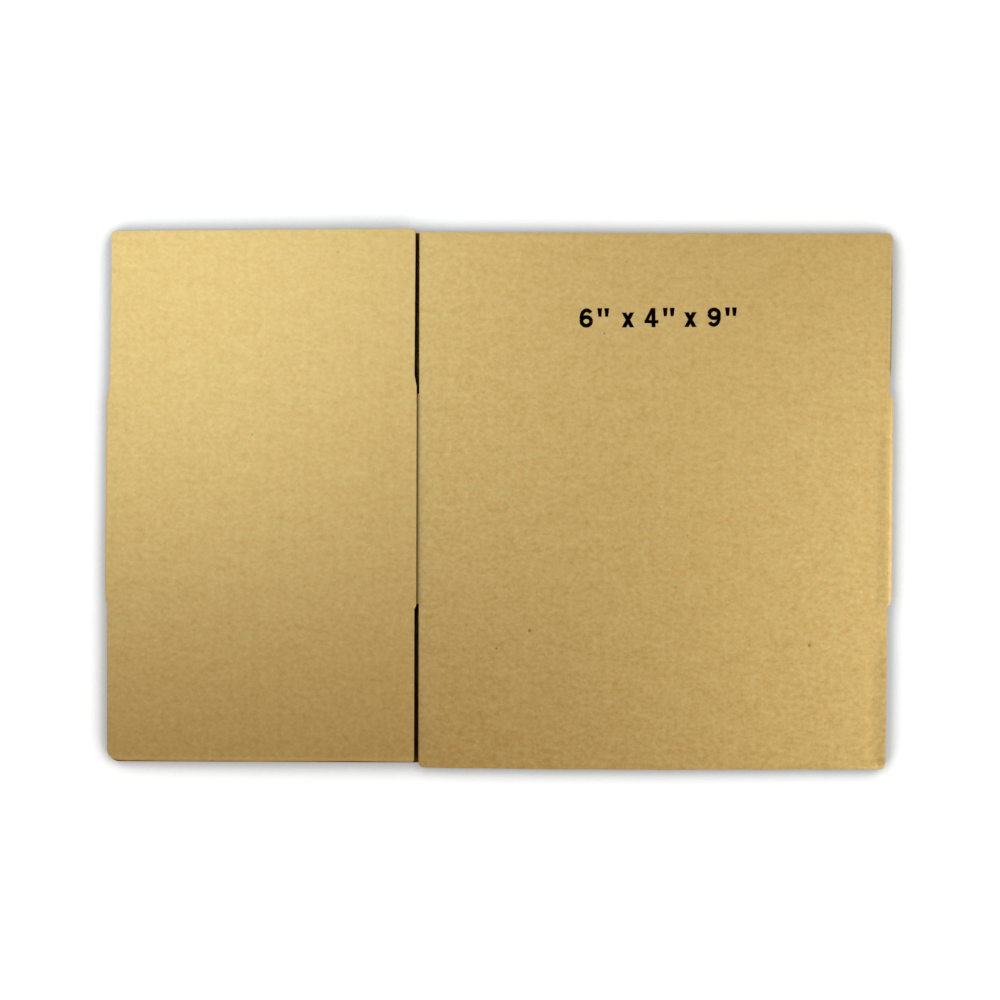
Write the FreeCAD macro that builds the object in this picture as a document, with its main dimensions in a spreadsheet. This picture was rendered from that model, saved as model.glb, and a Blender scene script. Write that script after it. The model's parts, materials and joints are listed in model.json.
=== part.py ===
import FreeCAD, Part

import os

import Sketcher

# A glued, slotted carton lying knocked down flat, in millimetres. The origin is on the table under the
# middle of the part: +X runs across all panels, +Y along the flutes and +Z up from the table.
# One sheet makes a lower layer (long panel on the left, short panel on the right), folds over at both
# ends, and comes back as an upper layer (short panel on the left, long panel on the right). The long
# upper panel carries the tab that the short upper panel is glued down on.
sizeRows = [
    ("long_panel", 232.4, "long panel, score to score"),
    ("short_panel", 153.4, "short panel, score to score"),
    ("box_depth", 107.95, "panel length between the flap scores"),
    ("flap_length", 77.8, "flap, from its score to its free edge"),
    ("board", 3.0, "thickness of the corrugated board"),
    ("liner", 0.35, "thickness of each flat outer sheet"),
    ("medium", 0.3, "thickness of the wavy sheet where it lies on a liner"),
    ("flute_pitch", 6.5, "one wave of the wavy sheet"),
    ("flute_narrow", 1.0, "narrow side of a flute channel"),
    ("flute_wall", 0.4, "slanting wall between two channels, measured along the sheet"),
    ("flute_margin", 2.0, "crushed board without channels beside a cut or fold"),
    ("slot_width", 1.8, "slot between two flaps"),
    ("slot_overrun", 1.2, "how far a slot runs past the score"),
    ("seam_gap", 1.0, "gap between the two upper panels"),
    ("layer_gap", 0.3, "air between the two layers"),
    ("crease_depth", 0.2, "depth of a score on each face"),
    ("crease_reach", 1.5, "half width of a score"),
    ("fold_bulge", 1.9, "how far a folded end stands out past the cut edges of the flaps"),
    ("fold_root", 1.5, "how far the layers are pressed together inside a folded end"),
    ("fold_radius", 2.0, "outer rounding of a folded end"),
    ("tab_length", 31.75, "glue tab, from the seam to its tip"),
    ("tab_board", 2.2, "crushed thickness of the tab at the seam"),
    ("tab_inset", 2.0, "how far the tab starts inside the panel's scores"),
    ("tab_taper", 11.5, "how much shorter the tab is at each end of its tip"),
    ("glue_film", 0.2, "thickness of the dried glue"),
    ("glue_width", 3.0, "width of one bead of glue"),
    ("glue_pitch", 6.2, "from one bead to the next"),
    ("glue_length", 88.0, "length of a bead"),
    ("glue_inset", 9.4, "from the seam to the first bead"),
    ("glue_beads", 3, "number of beads"),
    ("joint_shift", 2.1, "how far the glued panel is out of line along Y"),
    ("corner_radius", 1.5, "rounding of the flaps' free corners"),
]

doc = FreeCAD.newDocument("flattened_box")
sheet = doc.addObject("Spreadsheet::Sheet", "sizes")
for row, (alias, number, meaning) in enumerate(sizeRows, start=1):
    sheet.set("A%d" % row, meaning)
    sheet.set("B%d" % row, str(number))
    sheet.setAlias("B%d" % row, alias)
doc.recompute()

# Places along X: the cut edges of the outer flaps, the score in the lower layer and the seam above
flatHalf = "(sizes.long_panel + sizes.short_panel) / 2"
edgeX = "(%s - sizes.slot_width / 2)" % flatHalf
lowerScoreX = "(%s - sizes.short_panel)" % flatHalf
foldX = "(%s + sizes.fold_bulge)" % edgeX
rootX = "(%s - sizes.fold_root)" % edgeX
seamX = "(%s - sizes.long_panel - sizes.seam_gap / 10)" % flatHalf

# Places along Y: the scores and the free edges of the flaps, before the joint's shift
scoreY = "(sizes.box_depth / 2)"
freeY = "(sizes.box_depth / 2 + sizes.flap_length)"
shiftY = "(sizes.joint_shift / 2)"

# Heights: the underside of the upper layer, and the slope of the short panel over the tab
upperZ = "(sizes.board + sizes.layer_gap)"
topZ = "(2 * sizes.board + sizes.layer_gap)"
slopeRun = "(%s + %s - sizes.seam_gap)" % (seamX, rootX)
slopeRatio = "((sizes.tab_board + sizes.glue_film) / %s)" % slopeRun

# One flute channel is a trapezoid, and its wide side follows from the pitch and the slanting wall
channelRise = "(sizes.board - 2 * sizes.liner - sizes.medium)"
channelLean = "(sizes.medium / 2 / %s)" % channelRise
channelWide = "((sizes.flute_pitch / 2 - sizes.flute_wall - sizes.flute_narrow * (0.5 + %s)) / (0.5 - %s))" % (
    channelLean,
    channelLean,
)

alongFlutes = FreeCAD.Vector(0, 1, 0)
upward = FreeCAD.Vector(0, 0, 1)


def value(expression):
    """The number that an expression of the sheet's sizes gives now."""
    return float(sheet.evalExpression(expression))


def add_sketch(body, name, role, offset="0"):
    """A sketch on one of the body's own origin planes, moved along the plane's normal."""
    sketch = body.newObject("Sketcher::SketchObject", name)
    plane = next(item for item in body.Origin.OriginFeatures if item.Role == role)
    sketch.AttachmentSupport = [(plane, "")]
    sketch.MapMode = "FlatFace"
    sketch.setExpression("AttachmentOffset.Base.z", offset)
    return sketch


def draw_outline(sketch, corners):
    """A closed outline of straight lines, each corner held by two sizes from the sketch's origin."""
    first = sketch.GeometryCount
    count = len(corners)
    points = [FreeCAD.Vector(value(across), value(up), 0) for across, up in corners]
    for index in range(count):
        sketch.addGeometry(Part.LineSegment(points[index], points[(index + 1) % count]), False)
    for index in range(count):
        following = first + (index + 1) % count
        sketch.addConstraint(Sketcher.Constraint("Coincident", first + index, 2, following, 1))
    for index, (across, up) in enumerate(corners):
        for kind, expression in (("DistanceX", across), ("DistanceY", up)):
            constraint = Sketcher.Constraint(kind, -1, 1, first + index, 1, value(expression))
            number = sketch.addConstraint(constraint)
            sketch.setExpression("Constraints[%d]" % number, expression)


def add_pad(body, sketch, name, length, symmetric=False):
    """Material as far as the length, along the sketch's normal or half of it to each side."""
    pad = body.newObject("PartDesign::Pad", name)
    pad.Profile = sketch
    pad.SideType = "Symmetric" if symmetric else "One side"
    pad.setExpression("Length", length)
    return pad


def add_cut(body, sketch, name, length=None):
    """A cut to both sides of the sketch: right through, or as long as the length in all."""
    cut = body.newObject("PartDesign::Pocket", name)
    cut.Profile = sketch
    cut.SideType = "Symmetric"
    if length is None:
        cut.Type = "ThroughAll"
    else:
        cut.Type = "Length"
        cut.setExpression("Length", length)
    return cut


def round_edges(body, base, name, radius, direction, wanted):
    """Rounds the base feature's edges that run in the direction and whose middle passes the test."""
    edges = []
    for number, edge in enumerate(base.Shape.Edges, start=1):
        run = edge.Vertexes[-1].Point - edge.Vertexes[0].Point
        if run.cross(direction).Length < 0.001 and wanted(edge.CenterOfMass):
            edges.append("Edge%d" % number)
    fillet = body.newObject("PartDesign::Fillet", name)
    fillet.Base = (base, edges)
    fillet.setExpression("Radius", radius)


def channel_corners(middle, underside, wideSideUp):
    """A channel's four corners in the XZ plane, for board whose lower face is at the underside."""
    low = "(%s + sizes.liner)" % underside
    high = "(%s + sizes.board - sizes.liner)" % underside
    if wideSideUp:
        low = "(%s + sizes.medium)" % low
        lowHalf = "(sizes.flute_narrow / 2)"
        highHalf = "(%s / 2)" % channelWide
    else:
        high = "(%s - sizes.medium)" % high
        lowHalf = "(%s / 2)" % channelWide
        highHalf = "(sizes.flute_narrow / 2)"
    return [
        ("%s - %s" % (middle, lowHalf), low),
        ("%s + %s" % (middle, lowHalf), low),
        ("%s + %s" % (middle, highHalf), high),
        ("%s - %s" % (middle, highHalf), high),
    ]


def add_flutes(body, name, startX, endX, underside):
    """Rows of channels along Y, from the start towards the end, as many whole waves as fit."""
    firstX = "(%s + sizes.flute_margin + %s / 2)" % (startX, channelWide)
    room = "(%s - (%s) - 2 * sizes.flute_margin)" % (endX, startX)
    waves = "(floor((%s - %s) / sizes.flute_pitch - 0.5) + 1)" % (room, channelWide)
    sketch = add_sketch(body, name + "_outline", "XZ_Plane")
    draw_outline(sketch, channel_corners(firstX, underside, True))
    draw_outline(sketch, channel_corners("%s + sizes.flute_pitch / 2" % firstX, underside, False))
    cut = add_cut(body, sketch, name)
    doc.recompute()
    row = body.newObject("PartDesign::LinearPattern", name + "_row")
    row.Originals = [cut]
    row.Direction = (sketch, ["H_Axis"])
    row.setExpression("Occurrences", waves)
    row.setExpression("Length", "(%s - 1) * sizes.flute_pitch" % waves)
    body.Tip = row


def add_board(name, startX, endX, profile):
    """Board with its profile in the YZ plane and its width along X."""
    body = doc.addObject("PartDesign::Body", name)
    sketch = add_sketch(body, name + "_profile", "YZ_Plane", startX)
    draw_outline(sketch, profile)
    pad = add_pad(body, sketch, name + "_board", "%s - %s" % (endX, startX))
    doc.recompute()
    return body, pad


def lay_over_tab(body):
    """Tilts a body about the left fold, so that its panel climbs to lie on the glue tab."""
    body.Placement = FreeCAD.Placement(
        FreeCAD.Vector(-value(rootX), 0, value(upperZ)),
        FreeCAD.Rotation(FreeCAD.Vector(0, -1, 0), 1),
    )
    body.setExpression("Placement.Base.x", "-%s" % rootX)
    body.setExpression("Placement.Base.z", upperZ)
    body.setExpression("Placement.Rotation.Angle", "atan(%s)" % slopeRatio)


def panel_profile(middleY, underside):
    """A panel between two scores: plain faces that dip to the crease at both ends."""
    corners = []
    for end, reach in (("-", "+"), ("+", "-")):
        line = "%s %s %s" % (middleY, end, scoreY)
        inner = "%s %s sizes.crease_reach" % (line, reach)
        side = [
            (inner, underside),
            (line, "%s + sizes.crease_depth" % underside),
            (line, "%s + sizes.board - sizes.crease_depth" % underside),
            (inner, "%s + sizes.board" % underside),
        ]
        corners += side if end == "-" else side[::-1]
    return corners


def flap_profile(middleY, sign, underside):
    """A flap on one side of a panel, from the crease of its score to its free edge."""
    line = "%s %s %s" % (middleY, sign, scoreY)
    reach = "%s %s sizes.crease_reach" % (line, sign)
    free = "%s %s %s" % (middleY, sign, freeY)
    return [
        (line, "%s + sizes.crease_depth" % underside),
        (reach, underside),
        (free, underside),
        (free, "%s + sizes.board" % underside),
        (reach, "%s + sizes.board" % underside),
        (line, "%s + sizes.board - sizes.crease_depth" % underside),
    ]


def make_panel(name, startX, endX, middleY, underside, flutesFrom):
    """A fluted panel of the upper layer."""
    body, pad = add_board(name, startX, endX, panel_profile(middleY, underside))
    add_flutes(body, name + "_flutes", flutesFrom, endX, underside)
    return body


def make_flap(name, startX, endX, middleY, sign, underside, flutesFrom):
    """A fluted flap of the upper layer, a piece of its own because it swings up at its score."""
    body, pad = add_board(name, startX, endX, flap_profile(middleY, sign, underside))
    free = value("%s %s %s" % (middleY, sign, freeY))
    round_edges(body, pad, name + "_corners", "sizes.corner_radius", upward, lambda p: abs(p.y - free) < 0.01)
    doc.recompute()
    add_flutes(body, name + "_flutes", flutesFrom, endX, underside)
    return body


# Lower layer: two panels and their four flaps in one flat board, creased at the scores
def make_lower_layer():
    faceLow = []
    for sign, back in (("-", "+"), ("", "-")):
        line = "%s%s" % (sign, scoreY)
        before = ("%s - sizes.crease_reach" % line, "0")
        after = ("%s + sizes.crease_reach" % line, "0")
        faceLow += [before, (line, "sizes.crease_depth"), after]
    faceHigh = [(y, "sizes.board - (%s)" % z) for y, z in reversed(faceLow)]
    profile = [("-%s" % freeY, "0")] + faceLow + [(freeY, "0"), (freeY, "sizes.board")]
    profile += faceHigh + [("-%s" % freeY, "sizes.board")]
    body, pad = add_board("lower_layer", "-%s" % edgeX, edgeX, profile)
    free = value(freeY)
    round_edges(body, pad, "lower_corners", "sizes.corner_radius", upward, lambda p: abs(abs(p.y) - free) < 0.01)
    doc.recompute()

    slots = add_sketch(body, "lower_slots_outline", "XY_Plane")
    for sign in ("-", ""):
        inner = "%s(%s - sizes.slot_overrun)" % (sign, scoreY)
        bevel = "%s(%s - sizes.slot_overrun + sizes.slot_width / 4)" % (sign, scoreY)
        outer = "%s(%s + sizes.board)" % (sign, freeY)
        left = "%s - sizes.slot_width / 2" % lowerScoreX
        right = "%s + sizes.slot_width / 2" % lowerScoreX
        leftTip = "%s - sizes.slot_width / 4" % lowerScoreX
        rightTip = "%s + sizes.slot_width / 4" % lowerScoreX
        draw_outline(
            slots,
            [(left, outer), (left, bevel), (leftTip, inner), (rightTip, inner), (right, bevel), (right, outer)],
        )
    add_cut(body, slots, "lower_slots")
    doc.recompute()

    score = add_sketch(body, "lower_score_outline", "XZ_Plane")
    for face, dip in (("0", "sizes.crease_depth"), ("sizes.board", "sizes.board - sizes.crease_depth")):
        left = "%s - sizes.crease_reach" % lowerScoreX
        right = "%s + sizes.crease_reach" % lowerScoreX
        draw_outline(score, [(left, face), (lowerScoreX, dip), (right, face)])
    add_cut(body, score, "lower_score", "2 * (%s - sizes.slot_overrun)" % scoreY)
    doc.recompute()

    add_flutes(body, "lower_long_flutes", "-%s" % edgeX, "(%s - sizes.slot_width / 2)" % lowerScoreX, "0")
    doc.recompute()
    add_flutes(body, "lower_short_flutes", "(%s + sizes.slot_width / 2)" % lowerScoreX, edgeX, "0")
    return body


# Folded end: both layers pressed together and the outer face carried round them
def make_fold(name, sign):
    body = doc.addObject("PartDesign::Body", name)
    sketch = add_sketch(body, name + "_outline", "XZ_Plane")
    root = "%s%s" % (sign, rootX)
    nose = "%s%s" % (sign, foldX)
    draw_outline(sketch, [(root, "0"), (nose, "0"), (nose, topZ), (root, topZ)])
    length = "2 * (%s - %s - sizes.slot_overrun)" % (scoreY, shiftY)
    pad = add_pad(body, sketch, name + "_board", length, True)
    doc.recompute()
    outer = value(nose)
    round_edges(body, pad, name + "_rounding", "sizes.fold_radius", alongFlutes, lambda p: abs(p.x - outer) < 0.01)
    return body


# Glue tab: it leaves the long upper panel at the seam and is crushed to a wedge under the short one
def make_tab():
    body = doc.addObject("PartDesign::Body", "glue_tab")
    tip = "(%s - sizes.tab_length)" % seamX
    rootHalf = "(%s - sizes.tab_inset)" % scoreY
    tipHalf = "(%s - sizes.tab_taper)" % rootHalf
    plan = add_sketch(body, "glue_tab_outline", "XY_Plane", upperZ)
    draw_outline(
        plan,
        [
            (seamX, "-%s - %s" % (rootHalf, shiftY)),
            (seamX, "%s - %s" % (rootHalf, shiftY)),
            (tip, "%s - %s" % (tipHalf, shiftY)),
            (tip, "-%s - %s" % (tipHalf, shiftY)),
        ],
    )
    add_pad(body, plan, "glue_tab_board", "sizes.board")
    doc.recompute()

    drop = "(sizes.glue_film / cos(atan(%s)))" % slopeRatio
    above = add_sketch(body, "glue_tab_crush_outline", "XZ_Plane")
    start = "(%s - sizes.board)" % tip
    end = "(%s + sizes.board)" % seamX
    top = "(%s + 2 * sizes.board)" % topZ
    startZ = "%s + (%s + %s) * %s - %s" % (upperZ, start, rootX, slopeRatio, drop)
    endZ = "%s + (%s + %s) * %s - %s" % (upperZ, end, rootX, slopeRatio, drop)
    draw_outline(above, [(start, startZ), (end, endZ), (end, top), (start, top)])
    add_cut(body, above, "glue_tab_crush")
    return body


# Dried glue: beads along Y between the tab and the panel that lies on it
def make_glue():
    body = doc.addObject("PartDesign::Body", "joint_glue")
    body.AllowCompound = True
    first = "(%s - sizes.seam_gap - sizes.glue_inset + %s - sizes.glue_width)" % (seamX, rootX)
    sketch = add_sketch(body, "bead_outline", "XY_Plane", "-sizes.glue_film")
    last = "%s + sizes.glue_width" % first
    low = "-sizes.glue_length / 2"
    high = "sizes.glue_length / 2"
    draw_outline(sketch, [(first, low), (last, low), (last, high), (first, high)])
    bead = add_pad(body, sketch, "bead", "sizes.glue_film")
    doc.recompute()
    row = body.newObject("PartDesign::LinearPattern", "bead_row")
    row.Originals = [bead]
    row.Direction = (sketch, ["H_Axis"])
    row.Reversed = True
    row.setExpression("Occurrences", "sizes.glue_beads")
    row.setExpression("Length", "(sizes.glue_beads - 1) * sizes.glue_pitch")
    body.Tip = row
    lay_over_tab(body)
    return body


# Upper layer: the long panel lies flat on the right, and the short one climbs from the left fold, so
# its pieces are drawn from that fold along the sloping board
shortStart = "-sizes.fold_root"
shortPanelEnd = slopeRun
shortFlapEnd = "(%s - sizes.slot_width + sizes.seam_gap)" % slopeRun
longPanelY = "-%s" % shiftY
shortPanelY = shiftY

lowerLayer = make_lower_layer()
longPanel = make_panel("long_panel", seamX, edgeX, longPanelY, upperZ, seamX)
shortPanel = make_panel("short_panel", shortStart, shortPanelEnd, shortPanelY, "0", shortStart)
lay_over_tab(shortPanel)
leftFold = make_fold("left_fold", "-")
rightFold = make_fold("right_fold", "")
glueTab = make_tab()

foldedSheet = doc.addObject("Part::MultiFuse", "folded_sheet")
foldedSheet.Shapes = [lowerLayer, leftFold, rightFold, longPanel, shortPanel, glueTab]
foldedSheet.Refine = True

nodes = [foldedSheet, make_glue()]
for end, sign in (("top", "+"), ("bottom", "-")):
    nodes.append(make_flap("long_flap_" + end, seamX, edgeX, longPanelY, sign, upperZ, seamX))
    shortFlap = make_flap("short_flap_" + end, shortStart, shortFlapEnd, shortPanelY, sign, "0", shortStart)
    lay_over_tab(shortFlap)
    nodes.append(shortFlap)
doc.recompute()

for item in doc.Objects:
    if {"Invalid", "Error"} & set(item.State):
        raise RuntimeError("%s failed: %s" % (item.Name, item.State))
for node in nodes:
    node.Label = node.Name
    if node.Shape.isNull() or not node.Shape.isValid():
        raise RuntimeError("%s has no valid shape" % node.Label)

os.makedirs("parts", exist_ok=True)
for node in nodes:
    node.Shape.exportStep("parts/%s.step" % node.Label)
    box = node.Shape.BoundBox
    print(
        "%s: %d solids, %.1f mm3, X %.2f to %.2f, Y %.2f to %.2f, Z %.2f to %.2f"
        % (
            node.Label,
            len(node.Shape.Solids),
            node.Shape.Volume,
            box.XMin,
            box.XMax,
            box.YMin,
            box.YMax,
            box.ZMin,
            box.ZMax,
        )
    )
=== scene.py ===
import json
import math

import bpy
import numpy as np
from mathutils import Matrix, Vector


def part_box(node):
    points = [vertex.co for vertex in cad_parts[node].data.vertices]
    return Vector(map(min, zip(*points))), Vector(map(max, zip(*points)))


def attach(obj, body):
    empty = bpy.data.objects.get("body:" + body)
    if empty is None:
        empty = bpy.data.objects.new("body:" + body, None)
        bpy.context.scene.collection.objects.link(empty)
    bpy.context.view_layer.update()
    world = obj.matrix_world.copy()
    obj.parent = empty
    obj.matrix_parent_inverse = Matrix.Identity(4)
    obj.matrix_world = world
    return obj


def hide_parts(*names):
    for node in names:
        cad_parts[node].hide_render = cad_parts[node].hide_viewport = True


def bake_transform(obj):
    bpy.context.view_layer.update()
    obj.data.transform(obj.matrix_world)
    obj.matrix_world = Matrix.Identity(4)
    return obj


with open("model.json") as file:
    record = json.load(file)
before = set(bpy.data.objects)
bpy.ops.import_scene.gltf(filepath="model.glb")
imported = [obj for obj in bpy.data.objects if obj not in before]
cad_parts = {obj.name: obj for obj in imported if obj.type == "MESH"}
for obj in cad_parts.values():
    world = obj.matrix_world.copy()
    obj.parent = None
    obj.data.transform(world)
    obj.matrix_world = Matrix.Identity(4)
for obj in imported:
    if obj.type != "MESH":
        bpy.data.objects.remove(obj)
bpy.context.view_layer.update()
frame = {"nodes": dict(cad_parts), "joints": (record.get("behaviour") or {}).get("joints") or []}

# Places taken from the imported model, in metres
joints = {joint["name"]: joint for joint in frame["joints"]}
_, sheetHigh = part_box("folded_sheet")
longLow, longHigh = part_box("long_flap_top")
_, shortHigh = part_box("short_flap_top")
seamX = longLow[0]
edgeX = longHigh[0]
upperZ = longLow[2]
boardThick = longHigh[2] - longLow[2]
riseEnd = shortHigh[2] - upperZ - boardThick   # how far the short panel has climbed where it meets the seam
riseSlope = riseEnd / (shortHigh[0] + edgeX)
longTopScore = joints["long_flap_top_score"]["pos_m"][1]
longBottomScore = joints["long_flap_bottom_score"]["pos_m"][1]
shortTopScore = joints["short_flap_top_score"]["pos_m"][1]
shortBottomScore = joints["short_flap_bottom_score"]["pos_m"][1]
lowerScore = (longTopScore - longBottomScore) / 2
lowerFree = sheetHigh[1]
surfaceZ = upperZ + boardThick

paper = {
    "liner": 0.00028,
    "medium": 0.00022,
    "pitch": 0.0065,
    "columnsPerWave": 8,
    "washboard": 0.000006,   # how far a liner sinks between the flute tips
    "scoreDip": 0.00007,
    "scoreReach": 0.0036,
    "edgeCrush": 0.00016,
    "edgeReach": 0.0007,
    "unevenness": 0.00004,
    "unevenSize": 0.075,     # feature size of that unevenness
    "edgeUneven": 0.00012,   # the same two for a flap's free edge
    "edgeUnevenSize": 0.045,
    "bendReach": 0.0020,     # board on the panel's side of a score that is built as part of the flap
}

# Spacing of the mesh: even rows and columns, and a few closer ones beside cut edges and scores
gridSpacing = {
    "flap": 0.008,
    "panel": 0.009,
    "lower": 0.011,
    "cutZone": 0.0026,      # no even columns this near to a cut side
    "besideCut": np.array([0.0002, 0.0005, 0.0009, 0.0014, 0.0021]),
    "besideLine": np.array([0.15, 0.4, 0.7, 1.0, 1.4, 1.8, 2.4, 3.2]) * 0.001,
    "least": 0.0001,
}

# How far the sheet has slid and spread where it was pressed flat
pressed = {
    "leftEdge": -edgeX - 0.0007,
    "leftLean": 0.0040,
    "seamLean": -0.0022,
    "rightLean": 0.0055,
    "lowerTop": lowerFree - 0.0005,
    "lowerLeftBottom": lowerFree - 0.0011,
}


# Smooth waves: three sines in turned directions, from -1 to 1, with about the given feature size
def smoothNoise(x, y, seed, size):
    total = np.zeros(np.broadcast(x, y).shape)
    for turn in range(3):
        angle = seed * 1.7 + turn * 2.1
        wave = (x * math.cos(angle) + y * math.sin(angle)) / size * (1.0 + 0.37 * turn)
        total = total + np.sin(2 * math.pi * wave + seed * 3.1 + turn)
    return total / 3


# A bell shape: 1 at the middle and fading on both sides, e to the minus square of the distance over half
def bell(distance, half):
    return np.exp(-((distance / half) ** 2))


# The lean of upright edges, read between the left fold, the seam and the right fold
def leanAt(x):
    leans = [pressed["leftLean"], pressed["seamLean"], pressed["rightLean"]]
    return np.interp(x, [-edgeX, seamX, edgeX], leans)


# Columns at an even share of a wave, with a few more beside both cut sides
def columnsAcross(start, end, perWave):
    count = max(4, int(round((end - start) / paper["pitch"] * perWave)))
    sides = gridSpacing["besideCut"]
    even = np.linspace(start, end, count)
    even = even[(even > start + gridSpacing["cutZone"]) & (even < end - gridSpacing["cutZone"])]
    return np.concatenate([[start], start + sides, even, end - sides[::-1], [end]])


# Rows at an even spacing, and closer together beside each of the lines
def rowsAlong(start, end, step, lines):
    low, high = min(start, end), max(start, end)
    count = max(2, int(round((high - low) / step)) + 1)
    beside = gridSpacing["besideLine"]
    near = np.concatenate([-beside[::-1], beside])
    parts = [np.linspace(start, end, count)]
    parts += [line + near for line in lines]
    rows = np.unique(np.round(np.concatenate(parts), 6))
    rows = rows[(rows > low + gridSpacing["least"]) & (rows < high - gridSpacing["least"])]
    return np.concatenate([[low], rows, [high]])


# Four-cornered faces of a grid whose rows run along Y, wound to face up
def gridFaces(rows, columns, first):
    index = first + np.arange(rows * columns).reshape(rows, columns)
    return np.stack([index[:-1, :-1], index[:-1, 1:], index[1:, 1:], index[1:, :-1]], axis=-1).reshape(-1, 4)


# A closed sheet between two heights over the same grid: top, bottom turned over, and the rim between
def thinSheet(x, y, top, bottom, sheetSlot, rimSlot):
    rows, columns = x.shape
    count = rows * columns
    upperPoints = np.stack([x, y, top], axis=-1)
    lowerPoints = np.stack([x, y, bottom], axis=-1)
    points = np.concatenate([upperPoints, lowerPoints]).reshape(-1, 3)
    upper = gridFaces(rows, columns, 0)
    lower = gridFaces(rows, columns, count)[:, ::-1]
    index = np.arange(count).reshape(rows, columns)
    loop = np.concatenate([index[0, :-1], index[:-1, -1], index[-1, :0:-1], index[:0:-1, 0]])
    following = np.roll(loop, -1)
    rim = np.stack([loop, loop + count, following + count, following], axis=-1)
    faces = np.concatenate([upper, lower, rim])
    sheetFaces = len(upper) + len(lower)
    slots = np.concatenate([np.full(sheetFaces, sheetSlot), np.full(len(rim), rimSlot)])
    smooth = np.concatenate([np.ones(sheetFaces, bool), np.zeros(len(rim), bool)])
    border = np.zeros(2 * count, bool)
    border[loop] = True
    border[loop + count] = True
    return points, faces, slots, smooth, border


# An object with its data, in the scene
def newObject(name, data):
    made = bpy.data.objects.new(name, data)
    bpy.context.scene.collection.objects.link(made)
    return made


# One mesh object from several arrays of points and faces, with its place on the sheet and its tone kept
def makePiece(name, parts, materials, placeShift=(0.0, 0.0), tone=None):
    starts = np.cumsum([0] + [len(part[0]) for part in parts])
    points = np.concatenate([part[0] for part in parts])
    faces = np.concatenate([part[1] + start for part, start in zip(parts, starts)])
    border = np.concatenate([part[4] for part in parts])
    mesh = bpy.data.meshes.new(name)
    mesh.from_pydata(points, [], faces)
    mesh.polygons.foreach_set("material_index", np.concatenate([part[2] for part in parts]).astype(np.int32))
    mesh.polygons.foreach_set("use_smooth", np.concatenate([part[3] for part in parts]))
    ends = np.empty(2 * len(mesh.edges), np.int32)
    mesh.edges.foreach_get("vertices", ends)
    mesh.edges.foreach_set("use_edge_sharp", border[ends].reshape(-1, 2).all(axis=1))
    for material in materials:
        mesh.materials.append(material)
    layer = mesh.uv_layers.new(name="sheetPlace")
    # The place map leans with height, so that upright faces are not streaked
    height = points[:, 2:3]
    place = points[:, :2] + np.hstack([height, -height]) + np.array(placeShift)
    place = place[faces.reshape(-1)]
    layer.data.foreach_set("uv", place.astype(np.float32).reshape(-1))
    # The tone attribute carries painted highlights and shade as well as the paper's own paler and darker
    # marks
    shade = mesh.attributes.new("rubbedTone", "FLOAT", "POINT")
    if tone:
        shade.data.foreach_set("value", tone(points[:, 0], points[:, 1]).astype(np.float32))
    mesh.update()
    return newObject(name, mesh)


print("stage: materials")


# A shader node group with a place, named value inputs that start at 1, and named value outputs
def newGroup(name, inputs, outputs):
    group = bpy.data.node_groups.new(name, "ShaderNodeTree")
    group.interface.new_socket("Place", in_out="INPUT", socket_type="NodeSocketVector")
    for title in inputs:
        socket = group.interface.new_socket(title, in_out="INPUT", socket_type="NodeSocketFloat")
        socket.default_value = 1.0
    for title in outputs:
        group.interface.new_socket(title, in_out="OUTPUT", socket_type="NodeSocketFloat")
    return group, group.nodes.new("NodeGroupInput"), group.nodes.new("NodeGroupOutput")


# A shader node of the kind that Blender names ShaderNode and this word
def newNode(tree, kind):
    return tree.nodes.new("ShaderNode" + kind)


# An input linked to a socket, or set to a value
def feed(target, source):
    if isinstance(source, bpy.types.NodeSocket):
        target.id_data.links.new(source, target)
    else:
        target.default_value = source


# A material, its node tree and the tree's only node, which is its output
def newMaterial(name):
    material = bpy.data.materials.new(name)
    material.use_nodes = True
    material.node_tree.nodes.clear()
    return material, material.node_tree, newNode(material.node_tree, "OutputMaterial")


# A Math node, with each operand either a socket or a number
def addMath(tree, operation, first, second=None, third=None, clamp=False):
    node = newNode(tree, "Math")
    node.operation = operation
    node.use_clamp = clamp
    for target, operand in zip(node.inputs, (first, second, third)):
        if operand is not None:
            feed(target, operand)
    return node.outputs[0]


# A Vector Math node, with its second operand either a socket or three numbers
def addVector(tree, operation, first, second):
    node = newNode(tree, "VectorMath")
    node.operation = operation
    feed(node.inputs[0], first)
    feed(node.inputs[1], second)
    return node.outputs[0]


# A colour mix, with each colour either a socket or three numbers
def addMix(tree, factor, first, second):
    node = newNode(tree, "Mix")
    node.data_type = "RGBA"
    feed(node.inputs["Factor"], factor)
    for title, colour in (("A", first), ("B", second)):
        feed(node.inputs[title], (*colour, 1) if isinstance(colour, tuple) else colour)
    return node.outputs["Result"]


# How open a place is: its ambient occlusion, as a share of the way from closed to clear
def addOpenness(tree, look):
    openness = newNode(tree, "AmbientOcclusion")
    openness.samples = look["samples"]
    feed(openness.inputs["Distance"], look["reach"])
    closed, clear = look["open"]
    share = addMath(tree, "SUBTRACT", openness.outputs["AO"], closed)
    return addMath(tree, "DIVIDE", share, clear - closed, clamp=True)


# A bump of the given strength and depth on the shader's normal
def addBump(tree, shader, height, strength, depth):
    bump = newNode(tree, "Bump")
    feed(bump.inputs["Strength"], strength)
    feed(bump.inputs["Distance"], depth)
    feed(bump.inputs["Height"], height)
    feed(shader.inputs["Normal"], bump.outputs[0])


# One shader for the light that the scene gets, and another for what the camera sees
def splitSeen(tree, given, seen, output):
    path = newNode(tree, "LightPath")
    ray = addMath(tree, "MAXIMUM", path.outputs["Is Camera Ray"], path.outputs["Is Glossy Ray"])
    ray = addMath(tree, "MAXIMUM", ray, path.outputs["Is Transmission Ray"])
    mixed = newNode(tree, "MixShader")
    feed(mixed.inputs[0], ray)
    feed(mixed.inputs[1], given.outputs[0])
    feed(mixed.inputs[2], seen.outputs[0])
    feed(output.inputs[0], mixed.outputs[0])


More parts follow.
